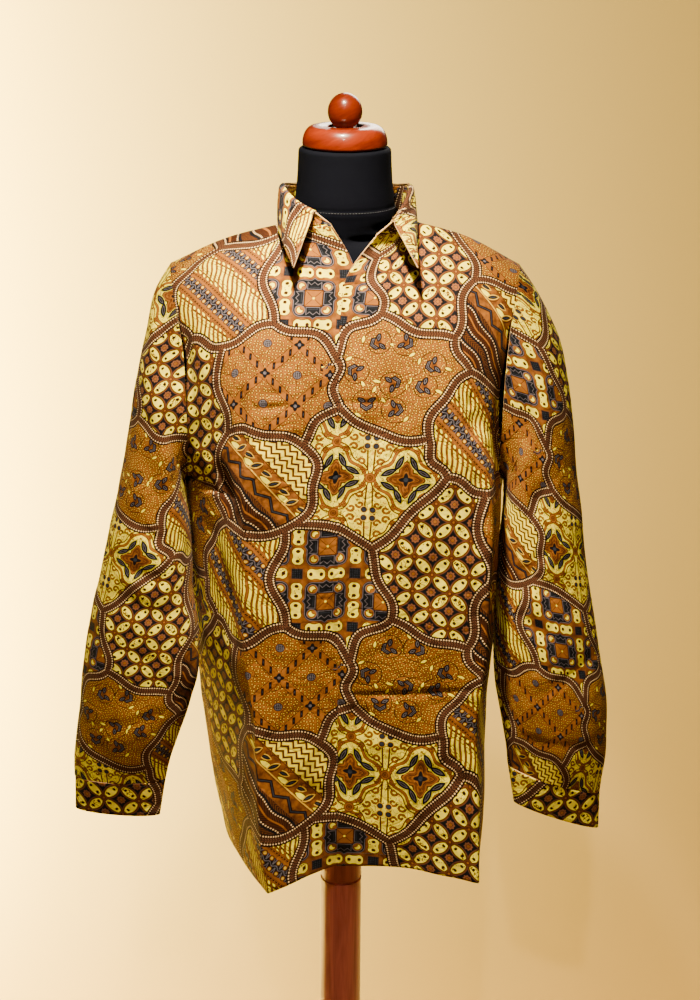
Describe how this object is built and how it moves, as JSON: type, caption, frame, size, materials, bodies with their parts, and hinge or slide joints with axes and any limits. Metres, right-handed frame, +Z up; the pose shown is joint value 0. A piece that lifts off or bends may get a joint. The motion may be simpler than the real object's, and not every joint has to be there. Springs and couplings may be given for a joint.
{
  "type": "long-sleeved shirt on a dress form",
  "caption": "Long-sleeved batik shirt, collar turned down and front closed under a fly placket, worn by a limbless dress form on a round wooden pole.",
  "frame": {"origin": "centre of the round base's underside", "axes": "+Z up along the pole, the shirt faces -Y, the wearer's left side is at +X"},
  "size_m": [0.6561, 0.33, 1.5623],
  "materials": {
    "back": "matt cotton, wax-resist print in navy, brown, cream and ochre",
    "collar_leaf": "matt cotton, wax-resist print in navy, brown, cream and ochre",
    "collar_stand": "matt cotton, wax-resist print in navy, brown, cream and ochre",
    "cuff_left": "matt cotton, wax-resist print in navy, brown, cream and ochre",
    "cuff_right": "matt cotton, wax-resist print in navy, brown, cream and ochre",
    "form_base": "glossy red-brown varnish",
    "form_cap": "glossy red-brown varnish",
    "form_knob": "glossy red-brown varnish",
    "form_pole": "glossy red-brown varnish",
    "form_torso": "matt black cotton cover over a padded form",
    "front_left": "matt cotton, wax-resist print in navy, brown, cream and ochre",
    "front_right": "matt cotton, wax-resist print in navy, brown, cream and ochre",
    "sleeve_left": "matt cotton, wax-resist print in navy, brown, cream and ochre",
    "sleeve_right": "matt cotton, wax-resist print in navy, brown, cream and ochre"
  },
  "bodies": {
    "root": {"back": "back", "collar_leaf": "collar_leaf", "collar_stand": "collar_stand", "cuff_left": "cuff_left", "cuff_right": "cuff_right", "form_base": "form_base", "form_cap": "form_cap", "form_knob": "form_knob", "form_pole": "form_pole", "form_torso": "form_torso", "front_left": "front_left", "front_right": "front_right", "sleeve_left": "sleeve_left", "sleeve_right": "sleeve_right"}
  },
  "joints": []
}
